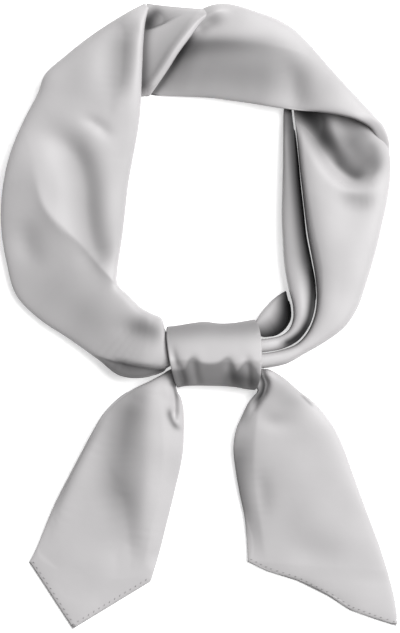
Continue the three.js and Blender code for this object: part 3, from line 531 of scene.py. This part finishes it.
def fall_drop(falls, x, y):
    """How far the cloth has fallen away at the points (x, y)."""
    total = np.zeros_like(x)
    for line, left, right, reach, fade_in, fade_out in falls:
        distance, share, nearest, offset = beside(line, x, y)
        distance, share = (np.take_along_axis(values, nearest, 0)[0] for values in (distance, share))
        away = np.hypot(distance, FALL_ROUND) - FALL_ROUND
        slope = np.where(offset > 0, left, right) * faded(share, fade_in, fade_out)
        total += slope * reach * np.tanh(away / reach)
    return total


def painted_shade(shades, x, y):
    """How much the painted shade darkens the cloth's colour at the points (x, y)."""
    light = np.ones_like(x)
    for line, amount, left, right, fade_in, fade_out in shades:
        distance, share, _, offset = beside(line, x, y)
        width = sided(left, right, offset)
        profile = np.exp(-(distance / width) ** 2)
        light *= 1 - amount * (faded(share, fade_in, fade_out) * profile).max(axis=0)
    return 1 - light


def slack(x, y):
    """The slight unevenness of cloth that lies loose, in millimetres."""
    return (0.22 * np.sin(x / 9.1 + 1.7 * np.sin(y / 23.0)) * np.sin(y / 17.3 + 0.8)
            + 0.12 * np.sin((x + y) / 6.3 + 1.3 * np.sin((x - y) / 19.0))
            + 0.08 * np.sin((2 * x - y) / 7.9 + 2.1))


def band_surface(rows, folds, falls, corners, step, crown_steps, under_steps=10, uneven=1.0, lean=1.0,
                 flatness=CROWN_FLATNESS):
    """Points of one stretch of cloth, in metres: along the band, and round its section from the free
    edge under side fold b over the crown to the free edge under side fold a. The steps are the faces of
    a section over its crown and under each side. A lean below 1 moves the top of the crown towards side
    fold b."""
    columns = (column[:, None] for column in stations(rows, corners, step).T)
    ax, ay, az, bx, by, bz, thick, under_a, under_b, bow = columns
    a, b = np.stack([ax, ay], axis=2), np.stack([bx, by], axis=2)
    thick = np.maximum(thick, LEAST_THICKNESS)
    under_a, under_b = np.maximum(under_a, LEAST_TURN), np.maximum(under_b, LEAST_TURN)
    part = np.arange(1, under_steps + 1)[None, :] / under_steps
    angles = np.hstack([
        -math.pi / 2 * under_b * part[:, ::-1],
        np.broadcast_to(np.linspace(0, math.pi, crown_steps + 1), (len(thick), crown_steps + 1)),
        math.pi + math.pi / 2 * under_a * part,
    ])
    share = 0.5 + 0.5 * np.sign(np.cos(angles)) * np.abs(np.cos(angles)) ** (2 / SIDE_ROUNDNESS)
    leaning = math.pi * np.clip(angles / math.pi, 0, 1) ** lean
    rise, fall = np.maximum(0, np.sin(leaning)), np.maximum(0, -np.sin(angles))
    across = (b - a) / np.linalg.norm(b - a, axis=2, keepdims=True)
    along = np.stack([-across[..., 1], across[..., 0]], axis=2)
    spots = a + (b - a) * share[..., None] + along * (bow * rise)[..., None]
    base = np.maximum(0, az) * (1 - share) + np.maximum(0, bz) * share
    side = np.maximum(0, SIDE_HEIGHT * (1 - UNDERSIDE_FLATNESS * fall))
    crown = (1 - SIDE_HEIGHT) * rise ** flatness
    z = base + thick * (side + crown) + LAP_LIFT * ramp(*LAP_ANGLES, -angles)
    x, y = spots[..., 0], spots[..., 1]
    z = base + (z - base) * np.exp(-FALL_SHARE * fall_drop(falls, x, y) / thick)
    relief = (fold_relief(folds, x, y) + uneven * slack(x, y)) * ramp(0, RELIEF_RISE, rise)
    z = np.where(rise > 0, np.maximum(z + relief, np.minimum(z, base + LEAST_HEIGHT)), z)
    return np.concatenate([spots, z[..., None]], axis=2) * MM


def finished_mesh(name, bm):
    """A mesh made from a bmesh, which is then freed."""
    mesh = bpy.data.meshes.new(name)
    bm.to_mesh(mesh)
    bm.free()
    return mesh


def scarf_piece(name, mesh, material):
    """A smooth object with a mesh, which rides on the scarf."""
    mesh.shade_smooth()
    mesh.materials.append(material)
    piece = bpy.data.objects.new(name, mesh)
    bpy.context.scene.collection.objects.link(piece)
    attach(piece, "root")
    return piece


def sheet_mesh(name, surface, shades):
    """A mesh of a grid of points, with a UV map in metres of cloth, whose crown faces up."""
    count_u, count_v = surface.shape[:2]
    u, v = count_u // 2, count_v // 2
    if np.cross(surface[u + 1, v] - surface[u, v], surface[u, v + 1] - surface[u, v])[2] < 0:
        surface = surface[:, ::-1]
    bm = bmesh.new()
    bmesh.ops.create_grid(bm, x_segments=count_u - 1, y_segments=count_v - 1, size=1)
    mesh = finished_mesh(name, bm)
    grid = np.empty(len(mesh.vertices) * 3)
    mesh.vertices.foreach_get("co", grid)
    grid = grid.reshape(-1, 3)
    i = np.rint((grid[:, 0] + 1) / 2 * (count_u - 1)).astype(int)
    j = np.rint((grid[:, 1] + 1) / 2 * (count_v - 1)).astype(int)
    mesh.vertices.foreach_set("co", surface[i, j].ravel())
    length = np.concatenate([[0], np.cumsum(np.linalg.norm(np.diff(surface[:, v], axis=0), axis=1))])
    girth = np.cumsum(np.linalg.norm(np.diff(surface, axis=1), axis=2), axis=1)
    girth = np.hstack([np.zeros((count_u, 1)), girth])
    girth -= girth[:, v:v + 1]
    corner = np.empty(len(mesh.loops), int)
    mesh.loops.foreach_get("vertex_index", corner)
    uv = np.stack([length[i[corner]], girth[i[corner], j[corner]]], axis=1)
    mesh.uv_layers.new(name="Cloth").data.foreach_set("uv", uv.ravel())
    # Painted shade: each point gets how much the shade tables darken its colour.
    shade = painted_shade(shades, surface[..., 0] / MM, surface[..., 1] / MM)
    mesh.attributes.new("Painted shade", "FLOAT", "POINT").data.foreach_set("value", shade[i, j])
    mesh.update()
    return mesh


def cloth_piece(name, node, rows, folds, flat, rests_on, falls=(), shades=(), corners=(), crown_steps=72,
                step_share=1.0, with_pieces=(), **shape):
    """A stretch of the scarf, which stands for one CAD node."""
    sizes = bpy.context.scene.scarf_sizes
    surface = band_surface(rows, folds, falls, corners, sizes.step / MM * step_share, crown_steps, **shape)
    satin = shared_material("Woven polyester satin", satin_nodes)
    piece = scarf_piece(name, sheet_mesh(name, surface, shades), satin)
    wall = piece.modifiers.new("Wall", "SOLIDIFY")
    wall.thickness = sizes.wall
    wall.offset = -1
    wall.use_even_offset = False
    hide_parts(node)
    return piece


def ring_frames(points, inset):
    """A frame at each point of a line: x points inwards, across the line, and y points up."""
    spots = np.asarray(points, float)
    runs = np.diff(spots, axis=0)
    runs /= np.linalg.norm(runs, axis=1, keepdims=True)
    sides = np.stack([-runs[:, 1], runs[:, 0]], axis=1)
    # Where two runs meet, the frame is mitred, so that both keep their width.
    mitres = np.vstack([sides[:1], sides[:-1] + sides[1:], sides[-1:]])
    mitres[1:-1] *= 2 / (mitres[1:-1] ** 2).sum(axis=1, keepdims=True)
    frames = []
    for (x, y), (ax, ay) in zip(spots, mitres):
        run = Vector((ay, -ax, 0)).normalized()
        frames.append(Matrix(((ax, 0, run.x, (x + ax * inset) * MM), (ay, 0, run.y, (y + ay * inset) * MM),
                              (0, 1, 0, 0), (0, 0, 0, 1))))
    return frames


def hem_roll(tail, node, edge):
    """The rolled hem along a tail's edge."""
    sizes = bpy.context.scene.scarf_sizes
    steps = []
    for (px, py), (qx, qy) in zip(edge, edge[1:]):
        count = max(1, round(math.hypot(qx - px, qy - py) / HEM_RUN))
        steps += [(px + (qx - px) * k / count, py + (qy - py) * k / count) for k in range(count)]
    steps.append(edge[-1])
    half = sizes.hem_width / 2
    frames = ring_frames(steps, half / MM)
    bm = bmesh.new()
    ring = bmesh.ops.create_circle(bm, segments=HEM_SIDES, radius=1, cap_ends=False)["verts"]
    shape = Matrix.Diagonal((half, sizes.hem_height / 2, 1, 1))
    lift = Matrix.Translation((0, 0, sizes.hem_height / 2))
    bmesh.ops.transform(bm, matrix=lift @ frames[0] @ shape, verts=ring)
    edges = list(bm.edges)
    for before, after in zip(frames, frames[1:]):
        made = bmesh.ops.extrude_edge_only(bm, edges=edges)["geom"]
        move = lift @ after @ (lift @ before).inverted()
        bmesh.ops.transform(bm, matrix=move, verts=[v for v in made if isinstance(v, bmesh.types.BMVert)])
        # The new ring's edges, without those that join it to the ring before.
        edges = [e for e in made if isinstance(e, bmesh.types.BMEdge)
                 and all(len(v.link_faces) <= 2 for v in e.verts) and len(e.link_faces) == 1]
    bmesh.ops.holes_fill(bm, edges=[e for e in bm.edges if len(e.link_faces) == 1])
    bmesh.ops.recalc_face_normals(bm, faces=bm.faces)
    name = f"{tail}_hem_roll"
    satin = shared_material("Rolled satin hem", hem_nodes)
    hem = scarf_piece(name, finished_mesh(name, bm), satin)
    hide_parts(node)
    return hem


def hem_stitches(tail, edge, rows, folds, falls, corners):
    """A row of small slanted stitches, half sunk in the cloth beside the hem."""
    sizes = bpy.context.scene.scarf_sizes
    cloth = band_surface(rows, folds, falls, corners, sizes.step / MM, crown_steps=48, under_steps=2)
    cloth = cloth.reshape(-1, 3)
    bm = bmesh.new()
    for (px, py), (qx, qy) in zip(edge, edge[1:]):
        length = math.hypot(qx - px, qy - py)
        count = max(1, round(length / (sizes.stitch_pitch / MM)))
        turn = math.atan2(qy - py, qx - px)
        inward = Vector((-(qy - py), qx - px, 0)) / length
        for k in range(count):
            t = (k + 0.5) / count
            spot = Vector((px + (qx - px) * t, py + (qy - py) * t, 0)) * MM + inward * sizes.stitch_inset
            near = np.hypot(cloth[:, 0] - spot.x, cloth[:, 1] - spot.y) < STITCH_REACH * MM
            spot.z = cloth[near, 2].max() if near.any() else sizes.hem_height
            size = Matrix.Diagonal((sizes.stitch_length / 2, STITCH_HALF_WIDTH * MM,
                                    STITCH_HALF_HEIGHT * MM, 1))
            bead = bmesh.ops.create_icosphere(bm, subdivisions=1, radius=1)["verts"]
            slant = Matrix.Rotation(turn + STITCH_SLANT, 4, "Z")
            bmesh.ops.transform(bm, matrix=Matrix.Translation(spot) @ slant @ size, verts=bead)
    name = f"{tail}_hem_stitches"
    thread = shared_material("Sewing thread", thread_nodes)
    return scarf_piece(name, finished_mesh(name, bm), thread)


def add_node(tree, kind, links=None, **settings):
    """Adds a node with its settings, and links the named or numbered inputs to the given outputs."""
    node = tree.nodes.new(kind)
    for key, value in settings.items():
        if hasattr(node, key):
            setattr(node, key, value)
        else:
            node.inputs[key.replace("_", " ")].default_value = value
    for key, output in (links or {}).items():
        tree.links.new(output, node.inputs[key])
    return node


def shared_material(name, fill):
    """The material of that name. When it is first asked for, `fill` gives it its nodes."""
    if name not in bpy.data.materials:
        material = bpy.data.materials.new(name)
        material.use_nodes = True
        fill(material.node_tree)
    return bpy.data.materials[name]


def shaded_colour(colour, share):
    """A share of a linear colour, as a node socket takes it."""
    return (*(min(1, c * share) for c in colour), 1)


def satin_nodes(tree):
    """Polyester satin: long floats over a fine ground, pressed smooth, so it gives a broad soft sheen
    with hardly any texture from arm's length."""
    shader = tree.nodes["Principled BSDF"]
    satin = bpy.context.scene.scarf_colours.satin
    cloth = add_node(tree, "ShaderNodeUVMap", uv_map="Cloth")
    place = add_node(tree, "ShaderNodeTexCoord")
    shade_mask = add_node(tree, "ShaderNodeAttribute", attribute_name="Painted shade")
    # The band is folded on the bias, so its floats run at 45 degrees to it.
    turned = add_node(tree, "ShaderNodeMapping", {"Vector": cloth.outputs["UV"]},
                      Rotation=(0, 0, math.radians(45)))
    floats = add_node(tree, "ShaderNodeTexWave", {"Vector": turned.outputs["Vector"]},
                      wave_type="BANDS", bands_direction="X",
                      Scale=2 * math.pi / (WAVE_PHASE * FLOAT_PITCH * MM), Distortion=1.2, Detail=2.0)
    soft = add_node(tree, "ShaderNodeTexNoise", {"Vector": place.outputs["Object"]},
                    Scale=1 / (LOOSE_PATCH * MM), Detail=3.0, Roughness=0.5)
    weave = add_node(tree, "ShaderNodeBump", {"Height": floats.outputs["Fac"]},
                     Strength=0.12, Distance=0.02 * MM)
    limp = add_node(tree, "ShaderNodeBump",
                    {"Height": soft.outputs["Fac"], "Normal": weave.outputs["Normal"]},
                    Strength=0.5, Distance=0.5 * MM)
    tree.links.new(limp.outputs["Normal"], shader.inputs["Normal"])
    tint = add_node(tree, "ShaderNodeMix", {"Factor": soft.outputs["Fac"]}, data_type="RGBA")
    tint.inputs[MIX_A].default_value = shaded_colour(satin, 0.96)
    tint.inputs[MIX_B].default_value = shaded_colour(satin, 1.04)
    # Painted shade: the colour is mixed towards near-black where the shade tables darken deep gaps and
    # cloth turned away from the light.
    shaded = add_node(tree, "ShaderNodeMix",
                      {"Factor": shade_mask.outputs["Fac"], MIX_A: tint.outputs[MIX_RESULT]}, data_type="RGBA")
    shaded.inputs[MIX_B].default_value = (*linear("#1D1D1E"), 1)
    tree.links.new(shaded.outputs[MIX_RESULT], shader.inputs["Base Color"])
    gloss = add_node(tree, "ShaderNodeMapRange", {"Value": soft.outputs["Fac"]}, To_Min=0.46, To_Max=0.56)
    # The painted shade dulls the sheen too, as a deep gap shut off from the light on most sides would.
    dulled = add_node(tree, "ShaderNodeMix", {"Factor": shade_mask.outputs["Fac"], "A": gloss.outputs["Result"]},
                      B=1.0)
    tree.links.new(dulled.outputs["Result"], shader.inputs["Roughness"])
    shader.inputs["IOR"].default_value = 1.5


def hem_nodes(tree):
    """The same satin rolled into a tight hem, which breaks up its sheen."""
    shader = tree.nodes["Principled BSDF"]
    hem = bpy.context.scene.scarf_colours.hem
    place = add_node(tree, "ShaderNodeTexCoord")
    rolls = add_node(tree, "ShaderNodeTexNoise", {"Vector": place.outputs["Object"]},
                     Scale=1 / (ROLL_GRAIN * MM), Detail=2.0)
    bump = add_node(tree, "ShaderNodeBump", {"Height": rolls.outputs["Fac"]},
                    Strength=0.5, Distance=0.25 * MM)
    tree.links.new(bump.outputs["Normal"], shader.inputs["Normal"])
    tint = add_node(tree, "ShaderNodeMix", {"Factor": rolls.outputs["Fac"]}, data_type="RGBA")
    tint.inputs[MIX_A].default_value = shaded_colour(hem, 0.9)
    tint.inputs[MIX_B].default_value = shaded_colour(hem, 1)
    tree.links.new(tint.outputs[MIX_RESULT], shader.inputs["Base Color"])
    shader.inputs["Roughness"].default_value = 0.5
    shader.inputs["Sheen Weight"].default_value = 0.2


def thread_nodes(tree):
    """Spun polyester sewing thread, a little darker and duller than the satin."""
    shader = tree.nodes["Principled BSDF"]
    thread = bpy.context.scene.scarf_colours.thread
    place = add_node(tree, "ShaderNodeTexCoord")
    plies = add_node(tree, "ShaderNodeTexNoise", {"Vector": place.outputs["Object"]},
                     Scale=1 / (THREAD_GRAIN * MM))
    tint = add_node(tree, "ShaderNodeMix", {"Factor": plies.outputs["Fac"]}, data_type="RGBA")
    tint.inputs[MIX_A].default_value = shaded_colour(thread, 0.8)
    tint.inputs[MIX_B].default_value = shaded_colour(thread, 1)
    tree.links.new(tint.outputs[MIX_RESULT], shader.inputs["Base Color"])
    shader.inputs["Roughness"].default_value = 0.7


def paper_nodes(tree):
    """White studio paper, lit so that it stays white and takes only a faint shadow."""
    shader = tree.nodes["Principled BSDF"]
    shader.inputs["Base Color"].default_value = (*linear("#F7F7F7"), 1)
    shader.inputs["Roughness"].default_value = 0.9
    shader.inputs["Emission Color"].default_value = (*linear("#FFFFFF"), 1)
    shader.inputs["Emission Strength"].default_value = 0.5


class SCARF_OT_neck_bands(bpy.types.Operator):
    """Make the folded bands round the neck: left, top, right, and the pleat inside the right one."""

    bl_idname = "scarf.neck_bands"
    bl_label = "Neck bands"

    def execute(self, context):
        cloth_piece("left_band_cloth", "left_neck_band", LEFT_BAND, LEFT_FOLDS, (0.115, 0.257),
                    ["top_band_cloth"], LEFT_FALLS, LEFT_SHADES, crown_steps=90)
        cloth_piece("top_band_cloth", "top_neck_band", TOP_BAND, TOP_FOLDS, (0.095, 0.121),
                    ["right_band_cloth"], TOP_FALLS, TOP_SHADES)
        cloth_piece("right_band_cloth", "right_neck_band", RIGHT_BAND, RIGHT_FOLDS, (0.085, 0.17),
                    ["inner_pleat_cloth"], RIGHT_FALLS, RIGHT_SHADES, crown_steps=80)
        cloth_piece("inner_pleat_cloth", "right_inner_pleat", INNER_PLEAT, PLEAT_FOLDS, (0.038, 0.154),
                    ["right_band_cloth"], (), PLEAT_SHADES, crown_steps=40)
        return {"FINISHED"}


class SCARF_OT_twist(bpy.types.Operator):
    """Make the panel that turns over at the top left, with its rolled edge."""

    bl_idname = "scarf.twist"
    bl_label = "Twist panel"

    def execute(self, context):
        cloth_piece("twist_cloth", "twist_panel", TWIST_PANEL, TWIST_FOLDS, (0.037, 0.053),
                    ["top_band_cloth"], (), TWIST_SHADES, crown_steps=70, uneven=0.2, lean=0.62,
                    step_share=0.5)
        return {"FINISHED"}


class SCARF_OT_knot(bpy.types.Operator):
    """Make the wrap of the knot and the fold that bulges from its corner."""

    bl_idname = "scarf.knot"
    bl_label = "Knot"

    def execute(self, context):
        cloth_piece("knot_wrap_cloth", "knot_wrap", KNOT_WRAP, WRAP_FOLDS, (0.045, 0.108),
                    ["left_band_cloth", "right_band_cloth"], WRAP_FALLS, WRAP_SHADES, crown_steps=96,
                    under_steps=16, uneven=0.3, flatness=0.6, step_share=0.6)
        cloth_piece("side_fold_cloth", "knot_side_fold", SIDE_FOLD, SIDE_FOLD_FOLDS, (0.036, 0.036),
                    ["knot_wrap_cloth"], (), SIDE_FOLD_SHADES, crown_steps=48, uneven=0.3, step_share=0.5)
        return {"FINISHED"}


class SCARF_OT_tails(bpy.types.Operator):
    """Make the two ends of the scarf with their rolled hems."""

    bl_idname = "scarf.tails"
    bl_label = "Tails"

    def execute(self, context):
        left = [hem_roll("left_tail", "left_tail_hem", LEFT_HEM),
                hem_stitches("left_tail", LEFT_HEM, LEFT_TAIL, LEFT_TAIL_FOLDS, LEFT_TAIL_FALLS,
                             LEFT_TAIL_CORNERS)]
        right = [hem_roll("right_tail", "right_tail_hem", RIGHT_HEM),
                 hem_stitches("right_tail", RIGHT_HEM, RIGHT_TAIL, RIGHT_TAIL_FOLDS, RIGHT_TAIL_FALLS,
                              RIGHT_TAIL_CORNERS)]
        cloth_piece("left_tail_cloth", "left_tail", LEFT_TAIL, LEFT_TAIL_FOLDS, (0.072, 0.143),
                    ["knot_wrap_cloth"], LEFT_TAIL_FALLS, LEFT_TAIL_SHADES, LEFT_TAIL_CORNERS,
                    with_pieces=left)
        cloth_piece("right_tail_cloth", "right_tail", RIGHT_TAIL, RIGHT_TAIL_FOLDS, (0.1, 0.146),
                    ["knot_wrap_cloth"], RIGHT_TAIL_FALLS, RIGHT_TAIL_SHADES, RIGHT_TAIL_CORNERS,
                    with_pieces=right)
        return {"FINISHED"}


class SCARF_OT_stage(bpy.types.Operator):
    """Make the floor, the soft light and the camera."""

    bl_idname = "scarf.stage"
    bl_label = "Stage"

    def execute(self, context):
        scene = context.scene
        scene.view_settings.view_transform = "Standard"
        bm = bmesh.new()
        bmesh.ops.create_grid(bm, x_segments=1, y_segments=1, size=FLOOR_HALF_SIDE)
        mesh = finished_mesh("floor", bm)
        mesh.materials.append(shared_material("White studio paper", paper_nodes))
        floor = bpy.data.objects.new("floor", mesh)
        floor.location.z = -FLOOR_DROP * MM
        scene.collection.objects.link(floor)
        world = bpy.data.worlds.new("Studio")
        world.use_nodes = True
        world.node_tree.nodes["Background"].inputs["Color"].default_value = (*linear("#FFFFFF"), 1)
        world.node_tree.nodes["Background"].inputs["Strength"].default_value = 0.1
        scene.world = world
        light = bpy.data.lights.new("softbox", "AREA")
        light.size = 2.2
        light.energy = 144
        softbox = bpy.data.objects.new("softbox", light)
        softbox.location = SOFTBOX_PLACE
        softbox.rotation_mode = "QUATERNION"
        aim = Vector(SOFTBOX_AIM) - Vector(SOFTBOX_PLACE)
        softbox.rotation_quaternion = aim.to_track_quat("-Z", "Y")
        scene.collection.objects.link(softbox)
        lens = bpy.data.cameras.new("camera")
        lens.lens = 200
        lens.sensor_width = 36
        camera = bpy.data.objects.new("camera", lens)
        distance = FRAME_LENGTH * MM * lens.lens / lens.sensor_width
        camera.location = (FRAME_MIDDLE[0] * MM, FRAME_MIDDLE[1] * MM, distance + FRAME_LEVEL * MM)
        scene.collection.objects.link(camera)
        scene.camera = camera
        return {"FINISHED"}


class SCARF_PT_panel(bpy.types.Panel):
    """Lists the scarf's operators and sizes in the sidebar."""

    bl_idname = "SCARF_PT_panel"
    bl_label = "Square satin scarf"
    bl_space_type = "VIEW_3D"
    bl_region_type = "UI"
    bl_category = "Scarf"

    def draw(self, context):
        for group in (context.scene.scarf_sizes, context.scene.scarf_colours):
            for name in group.__annotations__:
                self.layout.prop(group, name)
        for operator in OPERATORS:
            self.layout.operator(operator.bl_idname)


OPERATORS = (SCARF_OT_neck_bands, SCARF_OT_twist, SCARF_OT_knot, SCARF_OT_tails, SCARF_OT_stage)
CLASSES = (SCARF_PG_sizes, SCARF_PG_colours, *OPERATORS, SCARF_PT_panel)


def register():
    for cls in CLASSES:
        bpy.utils.register_class(cls)
    bpy.types.Scene.scarf_sizes = PointerProperty(type=SCARF_PG_sizes)
    bpy.types.Scene.scarf_colours = PointerProperty(type=SCARF_PG_colours)


def unregister():
    del bpy.types.Scene.scarf_colours
    del bpy.types.Scene.scarf_sizes
    for cls in reversed(CLASSES):
        bpy.utils.unregister_class(cls)


def main():
    """Builds the scarf and its stage."""
    register()
    bpy.ops.scarf.neck_bands()
    bpy.ops.scarf.twist()
    bpy.ops.scarf.knot()
    bpy.ops.scarf.tails()
    bpy.ops.scarf.stage()


if __name__ == "__main__":
    main()
